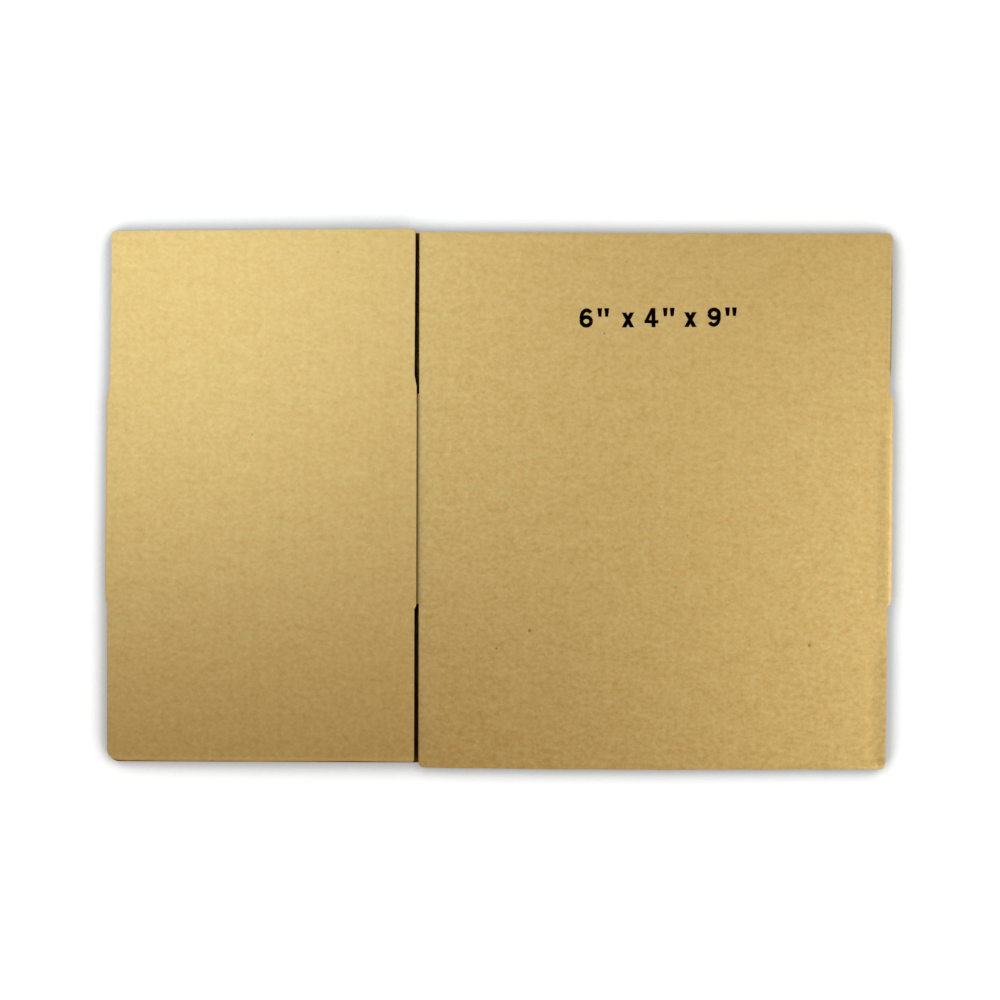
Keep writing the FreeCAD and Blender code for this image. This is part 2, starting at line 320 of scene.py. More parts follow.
# Three fixed shares, each multiplied by the same socket value
def scaleVector(tree, shares, amount):
    node = newNode(tree, "VectorMath")
    node.operation = "SCALE"
    feed(node.inputs[0], shares)
    feed(node.inputs["Scale"], amount)
    return node.outputs[0]


# A noise texture on a stretched and turned copy of the vector, centred on 0 and as wide as its share
def addNoise(tree, vector, scale, detail, stretch=(1.0, 1.0), offset=0.0, turn=0.0, share=1.0):
    mapping = newNode(tree, "Mapping")
    feed(mapping.inputs["Scale"], (*stretch, 1))
    feed(mapping.inputs["Rotation"], (0, 0, turn))
    feed(mapping.inputs["Location"], (offset, offset * 0.7, offset * 0.3))
    feed(mapping.inputs["Vector"], vector)
    noise = newNode(tree, "TexNoise")
    feed(noise.inputs["Scale"], scale)
    feed(noise.inputs["Detail"], detail)
    feed(noise.inputs["Roughness"], 0.55)
    feed(noise.inputs["Vector"], mapping.outputs[0])
    return addMath(tree, "MULTIPLY_ADD", noise.outputs["Fac"], share, -share / 2)


# Round specks: one possible per cell, kept for the given share of cells, 1 at the middle and 0 outside
def addSpecks(tree, vector, cell, radius, share, offset):
    mapping = newNode(tree, "Mapping")
    feed(mapping.inputs["Location"], (offset, offset * 1.3, 0))
    feed(mapping.inputs["Vector"], vector)
    cells = newNode(tree, "TexVoronoi")
    feed(cells.inputs["Scale"], 1 / cell)
    feed(cells.inputs["Vector"], mapping.outputs[0])
    split = newNode(tree, "SeparateColor")
    feed(split.inputs[0], cells.outputs["Color"])
    kept = addMath(tree, "LESS_THAN", split.outputs[0], share)
    size = addMath(tree, "MULTIPLY_ADD", split.outputs[1], radius / cell, 0.35 * radius / cell)
    inside = addMath(tree, "DIVIDE", cells.outputs["Distance"], size)
    spot = addMath(tree, "SUBTRACT", 1.0, inside, clamp=True)
    spot = addMath(tree, "MULTIPLY", spot, 2.0, clamp=True)
    return addMath(tree, "MULTIPLY", spot, kept)


# The paper's tone. Each noise has its share, scale per metre, stretch along X and Y, offset and turn
paperTone = {
    "layers": [
        {"share": 0.37, "scale": 430, "detail": 3.0, "stretch": (0.8, 1.0), "turn": 0.3},
        {"share": 0.17, "scale": 830, "detail": 2.0, "stretch": (1.0, 0.8), "offset": 2.0, "turn": 1.4},
        {"share": 0.04, "scale": 1700, "detail": 1.0, "stretch": (1.0, 0.7), "offset": 3.0, "turn": 2.3},
        {"share": 0.09, "scale": 300, "detail": 2.0, "stretch": (0.12, 1.0), "offset": 5.0},
        {"share": 0.16, "scale": 130, "detail": 4.0, "stretch": (0.8, 1.0), "offset": 7.0, "turn": 0.9},
        {"share": 0.03, "scale": 14, "detail": 2.0, "offset": 9.0, "turn": 0.4},
    ],
    "warmth": {"share": 0.4, "scale": 340, "detail": 3.0, "stretch": (0.9, 1.0), "offset": 11.0, "turn": 1.1},
    "fibres": {"share": 0.6, "scale": 2600, "detail": 3.0, "stretch": (0.25, 1.0), "offset": 13.0},
    "relief": 0.5 / 0.37,   # how much of the first layer the height holds, beside the fibres
    "fluteLine": 0.006,     # how much darker and lighter the lines over the flutes are
    "growth": 1.2,          # how much more mottled the paper grows in each metre towards its lower edge
}

# Specks: fine ones spread at random, and those that show from above, each with its place, its radius
# and its share of the speck's own colour
sheetSpecks = {
    "dark": {"cell": 0.0082, "radius": 0.00042, "share": 0.36, "offset": 0.9},
    "darkStrength": 0.4,
    "darkPlaced": [
        (-0.0798, 0.1211, 0.0010, 0.40), (-0.1541, 0.0769, 0.0010, 0.30), (-0.1219, 0.0311, 0.0008, 0.50),
        (0.0515, 0.0817, 0.0007, 0.85), (0.0152, -0.0649, 0.0011, 0.80), (-0.0011, -0.0739, 0.0007, 0.90),
        (0.1533, -0.0717, 0.0010, 0.85), (0.0871, -0.0434, 0.0008, 0.50), (0.0929, -0.0177, 0.0008, 0.50),
        (0.0622, 0.1173, 0.0008, 0.35),
    ],
    "pale": {"cell": 0.030, "radius": 0.00060, "share": 0.20, "offset": 1.7},
    "paleStrength": 0.3,
    "palePlaced": [
        (0.1868, -0.1308, 0.0011, 0.70), (-0.0639, -0.0248, 0.0009, 0.60), (-0.0112, -0.1218, 0.0009, 0.80),
        (0.0401, -0.1220, 0.0009, 0.70),
    ],
}


# One speck: full strength to half its radius and then fading, one minus the distance over the radius
def addPlacedSpeck(tree, vector, speck):
    x, y, radius, share = speck
    height = surfaceZ + (riseSlope * (x + edgeX) if x < seamX else 0.0)
    away = newNode(tree, "VectorMath")
    away.operation = "DISTANCE"
    feed(away.inputs[0], vector)
    feed(away.inputs[1], (x + height, y - height, 0.0))
    spot = addMath(tree, "MULTIPLY_ADD", away.outputs["Value"], -2.0 / radius, 2.0, clamp=True)
    return addMath(tree, "MULTIPLY", spot, share)


# Kraft paper: fine mottling, cross streaks and slow patches as a tone around 0, with specks and a height
def makePaperGroup():
    values = ["Mottling", "Specks", "Flute Lines"]
    results = ["Tone", "Warmth", "Dark Specks", "Light Specks", "Height"]
    group, source, sink = newGroup("kraftPaper", values, results)
    place = source.outputs["Place"]
    coarse, *finer = [addNoise(group, place, **layer) for layer in paperTone["layers"]]
    total = coarse
    for layer in finer:
        total = addMath(group, "ADD", total, layer)
    split = newNode(group, "SeparateXYZ")
    feed(split.inputs[0], place)
    # The paper is more mottled towards its lower edge
    growing = addMath(group, "MULTIPLY_ADD", split.outputs[1], -paperTone["growth"], 1.0)
    mottling = addMath(group, "MULTIPLY", growing, source.outputs["Mottling"])
    total = addMath(group, "MULTIPLY", total, mottling)
    wave = addMath(group, "MULTIPLY", split.outputs[0], 2 * math.pi / paper["pitch"])
    wave = addMath(group, "SINE", wave)
    wave = addMath(group, "MULTIPLY", wave, paperTone["fluteLine"])
    total = addMath(group, "MULTIPLY_ADD", wave, source.outputs["Flute Lines"], total)
    feed(sink.inputs["Tone"], total)

    warmth = addNoise(group, place, **paperTone["warmth"])
    feed(sink.inputs["Warmth"], addMath(group, "MULTIPLY", warmth, mottling))
    for kind, output in (("dark", "Dark Specks"), ("pale", "Light Specks")):
        spots = addSpecks(group, place, **sheetSpecks[kind])
        spots = addMath(group, "MULTIPLY", spots, sheetSpecks[kind + "Strength"])
        for speck in sheetSpecks[kind + "Placed"]:
            spots = addMath(group, "MAXIMUM", spots, addPlacedSpeck(group, place, speck))
        feed(sink.inputs[output], addMath(group, "MULTIPLY", spots, source.outputs["Specks"]))

    fibres = addNoise(group, place, **paperTone["fibres"])
    height = addMath(group, "MULTIPLY_ADD", coarse, paperTone["relief"], fibres)
    feed(sink.inputs["Height"], height)
    return group


paperGroup = makePaperGroup()


# Painted shade in gaps: how far light is looked for by the ambient occlusion, and the openness at which the
# paper is painted darkest and at which it keeps its own colour
paintedGapShadeLook = {"samples": 4, "reach": 0.009, "open": (0.26, 0.66)}

# Share of a speck's own colour at its middle, and the pale specks' colour
speckLook = {"dark": 0.75, "pale": 0.5, "paleColour": (0.82, 0.72, 0.50)}


# Kraft board: a base colour varied by the paper group, with painted shade in gaps for paper that lines them,
# a rough surface and a fibre bump
def makeKraft(name, settings):
    material, tree, output = newMaterial(name)
    shader = newNode(tree, "BsdfPrincipled")
    feed(output.inputs[0], shader.outputs[0])
    place = newNode(tree, "UVMap")
    place.uv_map = "sheetPlace"
    effect = newNode(tree, "Group")
    effect.node_tree = paperGroup
    feed(effect.inputs["Place"], place.outputs[0])
    for title, key in (("Mottling", "mottling"), ("Specks", "specks"), ("Flute Lines", "fluteLines")):
        feed(effect.inputs[title], settings[key])

    # Tone from the mesh attribute: painted highlights and shade, and the paper's own paler and darker marks
    rubbedTone = newNode(tree, "Attribute")
    rubbedTone.attribute_name = "rubbedTone"
    toned = scaleVector(tree, settings["toneShare"], effect.outputs["Tone"])
    toned = addVector(tree, "ADD", toned, scaleVector(tree, (1.0, 1.0, 1.0), rubbedTone.outputs["Fac"]))
    warmed = scaleVector(tree, settings["warmShare"], effect.outputs["Warmth"])
    varied = addVector(tree, "ADD", toned, warmed)
    varied = addVector(tree, "ADD", varied, (1.0, 1.0, 1.0))
    varied = addVector(tree, "MULTIPLY", varied, settings["colour"])
    strength = addMath(tree, "MULTIPLY", effect.outputs["Dark Specks"], speckLook["dark"])
    varied = addMix(tree, strength, varied, settings["speck"])
    strength = addMath(tree, "MULTIPLY", effect.outputs["Light Specks"], speckLook["pale"])
    colour = addMix(tree, strength, varied, speckLook["paleColour"])
    # Painted shade: where the ambient occlusion finds a gap, the colour is darkened towards its share
    if settings["gapTint"]:
        closed = addVector(tree, "MULTIPLY", colour, settings["gapTint"])
        colour = addMix(tree, addOpenness(tree, paintedGapShadeLook), closed, colour)
    feed(shader.inputs["Base Color"], colour)

    rough = addMath(tree, "MULTIPLY_ADD", effect.outputs["Height"], settings["uneven"], settings["roughness"])
    feed(shader.inputs["Roughness"], rough)
    feed(shader.inputs["Specular IOR Level"], settings["shine"])
    addBump(tree, shader, effect.outputs["Height"], settings["bump"], settings["bumpDepth"])
    return material


faceLook = {
    "colour": (0.584, 0.402, 0.155),
    "toneShare": (1.20, 1.70, 3.00),
    "warmShare": (0.30, -0.35, -1.10),
    "speck": (0.16, 0.09, 0.03),
    "mottling": 0.89,
    "specks": 1.0,
    "fluteLines": 1.0,
    "roughness": 0.82,
    "uneven": 0.10,         # how much the roughness follows the paper's height
    "shine": 0.35,
    "bump": 0.35,
    "bumpDepth": 0.00005,
    "gapTint": None,        # share of the colour that is left deep in a gap as painted shade, for paper that lines gaps
}
kraftFace = makeKraft("kraftFace", faceLook)
smoothFace = makeKraft("kraftFaceSmooth", {**faceLook, "mottling": 0.73, "bump": 0.20})   # the short panels
# Painted shade for paper that lines gaps: the share of its colour that is left deep in a gap
gapTint = (0.006, 0.004, 0.003)
kraftInside = makeKraft("kraftInside", {
    **faceLook, "colour": (0.450, 0.300, 0.120), "speck": (0.14, 0.08, 0.03), "mottling": 1.3, "specks": 1.3,
    "fluteLines": 2.0, "roughness": 0.88, "shine": 0.08, "bump": 0.45, "gapTint": gapTint,
})
kraftCut = makeKraft("kraftCut", {
    **faceLook, "colour": (0.270, 0.165, 0.060), "speck": (0.12, 0.07, 0.02), "mottling": 2.2, "specks": 0.6,
    "fluteLines": 0.0, "roughness": 0.93, "shine": 0.05, "bump": 0.8, "gapTint": gapTint,
})
kraftMedium = makeKraft("kraftMedium", {
    **faceLook, "colour": (0.380, 0.240, 0.095), "speck": (0.12, 0.07, 0.02), "mottling": 1.6,
    "fluteLines": 0.0, "roughness": 0.92, "shine": 0.05, "bump": 0.6,
})
faceSlot, insideSlot, cutSlot, mediumSlot = range(4)
boardMaterials = [kraftFace, kraftInside, kraftCut, kraftMedium]
shortMaterials = [smoothFace, kraftInside, kraftCut, kraftMedium]


# A material with two colours mixed by an object-space noise, which also varies its roughness
def makeSpotted(name, look):
    material, tree, output = newMaterial(name)
    shader = newNode(tree, "BsdfPrincipled")
    feed(output.inputs[0], shader.outputs[0])
    place = newNode(tree, "TexCoord")
    grain = addNoise(tree, place.outputs["Object"], look["scale"], 3.0)
    factor = addMath(tree, "MULTIPLY_ADD", grain, *look["contrast"], clamp=True)
    feed(shader.inputs["Base Color"], addMix(tree, factor, *look["colours"]))
    feed(shader.inputs["Roughness"], addMath(tree, "MULTIPLY_ADD", grain, *look["roughness"]))
    feed(shader.inputs["Specular IOR Level"], look["shine"])
    if look["bump"]:
        addBump(tree, shader, grain, *look["bump"])
    return material


# Black ink that lets a little of the paper's grain through, and dried adhesive, cream and uneven.
# Contrast and roughness are each a share of the noise and a middle value; a bump is a strength and a depth
inkLook = {
    "colours": ((0.0008, 0.0006, 0.0005), (0.0030, 0.0018, 0.0012)),
    "scale": 1400, "contrast": (1.2, 0.4), "roughness": (0.2, 0.72), "shine": 0.0, "bump": None,
}
glueLook = {
    "colours": ((0.52, 0.46, 0.32), (0.70, 0.64, 0.48)),
    "scale": 900, "contrast": (1.5, 0.5), "roughness": (0.2, 0.45), "shine": 0.5, "bump": (0.4, 0.0001),
}


print("stage: upper layer")

# X and Y from start to end, the node that a board replaces, whether it climbs over the tab, and which way
# its free edge lies. A flap has its own body, its corner radii and, from left to right, how far its free
# edge stands out, and how much its two sides splay and bow. The slant is its step to the wider panel
upperBoards = {
    "longPanel": {
        "x": (seamX, edgeX), "y": (longBottomScore, longTopScore),
        "node": "folded_sheet", "climbs": False, "free": None,
    },
    "shortPanel": {
        "x": (pressed["leftEdge"], shortHigh[0] + 0.0006), "y": (shortBottomScore, shortTopScore),
        "node": "folded_sheet", "climbs": True, "free": None,
    },
    "longFlapTop": {
        "x": (seamX, edgeX), "y": (longTopScore, longHigh[1]),
        "node": "long_flap_top", "body": "long_flap_top", "climbs": False, "free": 1,
        "corners": (0.0006, 0.0020), "edgeRise": (0.00075, 0.0007, 0.0006, 0.0007, 0.0009),
        "splay": (0.0, 0.009), "bow": (0.0, 0.0005),
    },
    "longFlapBottom": {
        "x": (seamX, edgeX), "y": (longBottomScore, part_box("long_flap_bottom")[0][1]),
        "node": "long_flap_bottom", "body": "long_flap_bottom", "climbs": False, "free": -1,
        "corners": (0.0026, 0.0022), "edgeRise": (0.0, 0.00055, 0.0005, 0.00025, -0.0002),
        "splay": (0.0, 0.0055), "bow": (0.0, 0.0),
    },
    "shortFlapTop": {
        "x": (pressed["leftEdge"], shortHigh[0] - 0.0005), "y": (shortTopScore, shortHigh[1]),
        "node": "short_flap_top", "body": "short_flap_top", "climbs": True, "free": 1,
        "corners": (0.0016, 0.0012), "edgeRise": (-0.00165, -0.0012, -0.0008, -0.0005, -0.00025),
        "splay": (0.004, 0.005), "bow": (0.0003, 0.0), "slant": 0.0055,
    },
    "shortFlapBottom": {
        "x": (pressed["leftEdge"] - 0.0004, shortHigh[0] - 0.0003),
        "y": (shortBottomScore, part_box("short_flap_bottom")[0][1] + 0.0010),
        "node": "short_flap_bottom", "body": "short_flap_bottom", "climbs": True, "free": -1,
        "corners": (0.0058, 0.0010), "edgeRise": (0.0, 0.0003, 0.0003, -0.0001, 0.0001),
        "splay": (-0.008, 0.0), "bow": (0.0, 0.0), "slant": 0.0016,
    },
}
slantReach = 0.006   # how far from the seam a short flap's slant shows

# The long panel's edge, rounded where the tab bends down
seamRound = {"depth": 0.00035, "reach": 0.0011}


# How far each face sinks beside a score: a rounded groove that fades within a few millimetres
def scoreCrush(distance):
    return paper["scoreDip"] * bell(distance, paper["scoreReach"])


# How far each face is pressed in beside a cut edge
def cutCrush(distance):
    return paper["edgeCrush"] * np.exp(-np.maximum(distance, 0) / paper["edgeReach"])


# Phase of the flutes, counted from the right-hand fold
def fluteAngle(x):
    return (x - edgeX) * 2 * math.pi / paper["pitch"]


# Bands along Y: X, start, end, strength, half width, fade at each end, and the slope of X over Y.
# These change the height: creases, prints of the glue and the lifted right-hand side
creases = [
    (0.0897, -0.0528, 0.010, 0.000045, 0.0013, (0.004, 0.030), 0),
    (0.0958, -0.131, -0.0545, 0.000060, 0.0015, (0.004, 0.004), 0),
    (-0.0640, -0.024, 0.049, -0.000022, 0.0009, (0.012, 0.018), 0),
    (-0.0576, -0.026, 0.050, -0.000024, 0.0009, (0.012, 0.018), 0),
    (-0.0517, -0.020, 0.047, -0.000020, 0.0009, (0.012, 0.018), 0),
    (0.1920, -0.131, -0.0600, 0.00080, 0.0062, (0.001, 0.020), 0),
    (0.1920, -0.056, 0.056, 0.00050, 0.0052, (0.004, 0.030), 0),
]

# These change the tone: painted highlights on both folds, painted shade along the three creases and in a dark
# line at the upper right flap's edge, and darker and paler bands beside the right-hand edges
toneAndPaintedLightBands = [
    # Darker band beside the right fold, and a painted highlight on the fold's rounded edge
    (0.1897, -0.056, 0.052, -0.12, 0.0030, (0.004, 0.030), 0),
    (0.1932, -0.056, 0.056, 0.30, 0.0018, (0.004, 0.020), 0),
    (0.1892, -0.131, -0.0600, -0.14, 0.0032, (0.001, 0.020), 0),
    (0.1820, -0.131, -0.0600, 0.08, 0.0020, (0.001, 0.030), 0),
    # Darker and paler bands at the upper right flap's edge, with painted shade in the darkest line
    (0.1906, 0.059, 0.127, -0.10, 0.0007, (0.010, 0.006), 0.0145),
    (0.1917, 0.059, 0.127, 0.06, 0.0005, (0.010, 0.006), 0.0145),
    (0.1927, 0.059, 0.122, -0.45, 0.0005, (0.006, 0.006), 0.0145),
    # Painted highlight on the left fold
    (-0.1942, -0.056, 0.056, 0.16, 0.0010, (0.010, 0.010), 0),
    # Painted shade along the three creases
    (-0.0640, -0.024, 0.049, -0.036, 0.0010, (0.012, 0.018), 0),
    (-0.0576, -0.026, 0.050, -0.038, 0.0010, (0.012, 0.018), 0),
    (-0.0517, -0.020, 0.047, -0.034, 0.0010, (0.012, 0.018), 0),
]

# The crushed rim round the lower left corner: a pale ring seen from just inside its outline
crushedRim = {"middle": (-0.1884, -0.1231), "radius": 0.0054, "half": 0.0007, "tone": 0.20}

# Crushed strips along the lower edges
crushedFoot = [
    {"y": -0.1318, "half": 0.0010, "from": 0.165, "to": 0.195, "fade": 0.016, "tone": 0.12},
    {"y": -0.1285, "half": 0.0007, "from": -0.1884, "to": -0.042, "fade": 0.001, "tone": 0.15},
]


# Sum of bands at a place: each is a bell shape across its line and fades straight at both ends
def addBands(x, y, bands):
    total = 0 * (x + y)
    for middle, start, end, strength, half, (startFade, endFade), lean in bands:
        along = np.clip((y - start) / startFade, 0, 1) * np.clip((end - y) / endFade, 0, 1)
        total = total + strength * along * bell(x - middle - lean * (y - start), half)
    return total


# How much lighter or darker the paper is made, with painted highlights and shade among the bands: the bands,
# and bell shapes across the strips and ring
def toneAndPaintedLightMarks(x, y):
    tone = addBands(x, y, toneAndPaintedLightBands)
    for strip in crushedFoot:
        along = np.clip((x - strip["from"]) / strip["fade"], 0, 1) * (x < strip["to"])
        tone = tone + strip["tone"] * along * bell(y - strip["y"], strip["half"])
    middleX, middleY = crushedRim["middle"]
    fromRing = np.hypot(x - middleX, y - middleY) - crushedRim["radius"]
    outward = (x < middleX) & (y < middleY)
    return tone + crushedRim["tone"] * outward * bell(fromRing, crushedRim["half"])


# Height of the creases, glue prints and lifted sides over a slight unevenness
def surfaceMarks(x, y):
    uneven = paper["unevenness"] * smoothNoise(x, y, 4.0, paper["unevenSize"])
    return uneven + addBands(x, y, creases)


# How much the washboard lowers an upper face; what is left of twice its height lifts the lower face
def washboard(x):
    return paper["washboard"] * (1 - np.cos(fluteAngle(x)))


# Heights of a board's two faces: flat or climbing, less the score, the pressed edges and the washboard
def boardHeights(x, y, board):
    lift = riseSlope * (x + edgeX) if board["climbs"] else 0.0 * x
    lift = np.maximum(lift, 0) + surfaceMarks(x, y)
    crush = np.zeros(x.shape)
    for score in board["scores"]:
        crush = crush + scoreCrush(y - score)
    crush = crush + cutCrush(x - board["x"][0]) + cutCrush(board["x"][1] - x)
    if board["free"]:
        crush = crush + cutCrush(np.abs(board["y"][1] - y))
    elif not board["climbs"]:
        crush = crush + seamRound["depth"] * bell(x - seamX, seamRound["reach"])
    top = surfaceZ + lift - crush - washboard(x)
    bottom = upperZ + lift + crush + 2 * paper["washboard"] - washboard(x)
    return top, bottom


# How far an edge draws back near a round corner of the given radius: one minus the circle's height
def drawBack(distance, radius):
    share = np.clip(1 - distance / radius, 0, 1)
    return radius * (1 - np.sqrt(1 - share ** 2))


# Distance by which the free edge draws back: round corners, less its measured rise and a fine unevenness
def roundedEnd(x, board):
    start, end = board["x"]
    corner = drawBack(x - start, board["corners"][0]) + drawBack(end - x, board["corners"][1])
    slope = np.interp(x, np.linspace(start, end, len(board["edgeRise"])), board["edgeRise"])
    uneven = smoothNoise(x, 0 * x, start * 40 + board["free"], paper["edgeUnevenSize"])
    return corner - slope - paper["edgeUneven"] * uneven


# Sideways place of a flap: it splays away from its score, and meets the wider panel in a short slant
def flapSpread(x, y, board):
    start, end = board["x"]
    away = (y - board["y"][0]) * board["free"]
    splay = np.interp(x, [start, end], board["splay"]) * np.maximum(away, 0) * board["free"]
    length = abs(board["y"][1] - board["y"][0])
    splay = splay + np.interp(x, [start, end], board["bow"]) * np.sin(math.pi * np.clip(away / length, 0, 1))
    if not board["climbs"]:
        return splay
    nearSeam = np.clip(1 - (end - x) / slantReach, 0, 1)
    wider = (upperBoards["shortPanel"]["x"][1] - end) * np.clip(1 - away / board["slant"], 0, 1)
    return splay + nearSeam * wider


# Real corrugated board: two liners and a sine-wave medium, each a closed thin sheet, on one grid.
# The medium is thicker where it is steep, by the root of one plus the square of its slope
def corrugated(flatX, x, y, top, bottom, upperSlot, lowerSlot):
    angle = fluteAngle(flatX)
    steep = (top - bottom) / 2 * 2 * math.pi / paper["pitch"] * np.cos(angle)
    half = paper["medium"] / 2 * np.sqrt(1 + steep ** 2)
    middle = (top + bottom) / 2 + np.sin(angle) * ((top - bottom) / 2 - paper["liner"] - paper["medium"] / 2)
    few = np.unique(np.r_[0:len(flatX):3, len(flatX) - 1])
    return [
        thinSheet(x, y, top, top - paper["liner"], upperSlot, cutSlot),
        thinSheet(x[few], y[few], middle[few] + half[few], middle[few] - half[few], mediumSlot, cutSlot),
        thinSheet(x, y, bottom + paper["liner"], bottom, lowerSlot, cutSlot),
    ]


# One board of the upper layer, from its grid to its place on the part
def makeBoard(name, board):
    start, end = board["x"]
    scoreNear, far = board["y"]
    if board["free"]:
        board["scores"] = [scoreNear]
        rootY = scoreNear - board["free"] * paper["bendReach"]
        rows = rowsAlong(rootY, far, gridSpacing["flap"], [scoreNear, far])
    else:
        board["scores"] = [scoreNear, far]
        rootY = scoreNear + paper["bendReach"]
        rows = rowsAlong(rootY, far - paper["bendReach"], gridSpacing["panel"], board["scores"])
    columns = columnsAcross(start, end, paper["columnsPerWave"])
    x, y = np.meshgrid(columns, rows)
    placedY = y
    if board["free"]:
        share = (y - rootY) / (far - rootY)
        placedY = y - share * board["free"] * roundedEnd(x, board)
    top, bottom = boardHeights(x, y, board)
    placedX = x + leanAt(x) * y
    if board["free"]:
        placedX = placedX + flapSpread(x, y, board)
    parts = corrugated(x, placedX, placedY, top, bottom, faceSlot, insideSlot)
    materials = shortMaterials if board["climbs"] else boardMaterials
    piece = makePiece(name, parts, materials, tone=toneAndPaintedLightMarks)
    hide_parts(board["node"])
    if board["free"]:
        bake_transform(piece)
    else:
        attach(piece, "folded_sheet")


for title, board in upperBoards.items():
    makeBoard(title, board)

print("stage: lower layer")

slotWidth = 0.0018
seamGap = 0.0010
lowerLayer = {
    "columnsPerWave": 6,
    "scoreX": (longHigh[0] + slotWidth / 2) - (shortHigh[0] + edgeX + slotWidth + seamGap),
    "slotPast": 0.0012,
    "turnedOut": 0.0013,    # how far the far right flap is turned out, so that its side just shows
    "turnReach": 0.05,      # how far from its side it is turned
    "turnRoot": 0.012,      # how far past its score it is fully turned
    # Corner radii: top left, top right, bottom left, bottom right
    "corners": {
        "lowerLong": (0.0015, 0.0006, 0.0050, 0.0006),
        "lowerShort": (0.0006, 0.0015, 0.0006, 0.0015),
        "lowerBridge": (0.0001, 0.0001, 0.0001, 0.0001),
    },
    "placeShift": (0.37, 0.0),
}


# Board of the lower layer, built like the upper ones, with its printed face on the table
def makeLowerBoard(start, end, yStart, yEnd, scores, corners):
    columns = columnsAcross(start, end, lowerLayer["columnsPerWave"])
    rows = rowsAlong(yStart, yEnd, gridSpacing["lower"], scores + [yStart, yEnd])
    x, y = np.meshgrid(columns, rows)
    topLeft, topRight, bottomLeft, bottomRight = corners
    above = drawBack(x - start, topLeft) + drawBack(end - x, topRight)
    below = drawBack(x - start, bottomLeft) + drawBack(end - x, bottomRight)
    corner = np.where(y > 0, above, below)
    share = np.where(y > 0, y / yEnd, -y / yStart)
    placedY = y - share * np.abs(share) * corner
    nearSide = np.clip(1 - (edgeX - x) / lowerLayer["turnReach"], 0, 1)
    turned = lowerLayer["turnedOut"] * np.clip((y - lowerScore) / lowerLayer["turnRoot"], 0, 1) * nearSide
    placedX = x + leanAt(x) * y + turned
    crush = np.zeros(x.shape)
    for score in scores:
        crush = crush + scoreCrush(y - score)
    crush = crush + scoreCrush(x - lowerLayer["scoreX"]) * (np.abs(y) < lowerScore)
    if scores:
        crush = crush + cutCrush(yEnd - y) + cutCrush(y - yStart)
    top = boardThick - crush - washboard(x)
    bottom = crush + 2 * paper["washboard"] - washboard(x)
    return corrugated(x, placedX, placedY, top, bottom, insideSlot, faceSlot)


lowerX = lowerLayer["scoreX"]
slotHalf = slotWidth / 2
bridgeY = lowerScore - lowerLayer["slotPast"]
scorePair = [-lowerScore, lowerScore]
lowerBoards = {
    "lowerLong": (-edgeX, lowerX - slotHalf, -pressed["lowerLeftBottom"], pressed["lowerTop"], scorePair),
    "lowerShort": (lowerX + slotHalf, edgeX, -pressed["lowerTop"], pressed["lowerTop"], scorePair),
    "lowerBridge": (lowerX - slotHalf, lowerX + slotHalf, -bridgeY, bridgeY, []),
}
for title, (start, end, yStart, yEnd, scores) in lowerBoards.items():
    corners = lowerLayer["corners"][title]
    parts = makeLowerBoard(start, end, yStart, yEnd, scores, corners)
    lowerPiece = makePiece(title, parts, boardMaterials, lowerLayer["placeShift"])
    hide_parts("folded_sheet")
    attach(lowerPiece, "folded_sheet")

print("stage: folded ends and glue tab")

foldEnd = {
    "reach": {1: sheetHigh[0] - edgeX + 0.0004, -1: sheetHigh[0] - edgeX + 0.0007},
    "halfLength": lowerScore - 0.0022,
    "squareness": 3.6,
    "grid": (31, 70),       # points round the fold and along it
    "uneven": 0.00016,
    "unevenSize": 0.031,
    "drawnIn": 0.0009,      # how much less the fold reaches at its two ends
    "drawnReach": 0.0020,
    "inside": 0.0002,       # how far it starts inside the boards' cut edges
    "clear": 0.00004,       # how far it stays below and above the outer faces
    "layers": [
        {"inset": 0.0, "slot": faceSlot, "trim": 1.0, "thick": 0.00034},
        {"inset": 0.0011, "slot": mediumSlot, "trim": 0.993, "thick": 0.0006},
    ],
}


# The liner carried round the folded end: a squared half ellipse in XZ, swept along Y and slightly uneven
def makeFold(name, side):
    pointsRound, pointsAlong = foldEnd["grid"]
    angles = np.linspace(-math.pi / 2, math.pi / 2, pointsRound)
    rows = np.linspace(-foldEnd["halfLength"], foldEnd["halfLength"], pointsAlong)
    angle, y = np.meshgrid(angles, rows)
    power = 2 / foldEnd["squareness"]
    out = np.abs(np.cos(angle)) ** power
    up = np.sign(np.sin(angle)) * np.abs(np.sin(angle)) ** power
    length = np.hypot(out, up)
    halfHeight = surfaceZ / 2
    uneven = foldEnd["uneven"] * smoothNoise(y, 0 * y, side + 2.5, foldEnd["unevenSize"])
    drawn = foldEnd["drawnIn"] * np.exp(-(foldEnd["halfLength"] - np.abs(y)) / foldEnd["drawnReach"])
    lifted = surfaceMarks(0 * y + side * edgeX, y) * np.maximum(up, 0)
    lean = leanAt(side * edgeX)
    parts = []
    for layer in foldEnd["layers"]:
        reach = (foldEnd["reach"][side] + uneven - drawn - layer["inset"]) * out
        x = side * (edgeX - foldEnd["inside"] + reach)
        z = halfHeight + (halfHeight - layer["inset"] - foldEnd["clear"]) * up + lifted
        yHere = y * layer["trim"]
        innerX = x - side * out / length * layer["thick"]
        innerZ = z - up / length * layer["thick"]
        points, faces, slots, smooth, border = thinSheet(x, yHere, z, innerZ, layer["slot"], cutSlot)
        points[:, 0] = np.concatenate([x + lean * yHere, innerX + lean * yHere]).reshape(-1)
        if side > 0:
            faces = faces[:, ::-1]
        parts.append((points, faces, slots, smooth, border))
    materials = boardMaterials if side > 0 else shortMaterials
    piece = makePiece(name, parts, materials, tone=toneAndPaintedLightMarks)
    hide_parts("folded_sheet")
    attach(piece, "folded_sheet")


makeFold("foldRight", 1)
makeFold("foldLeft", -1)

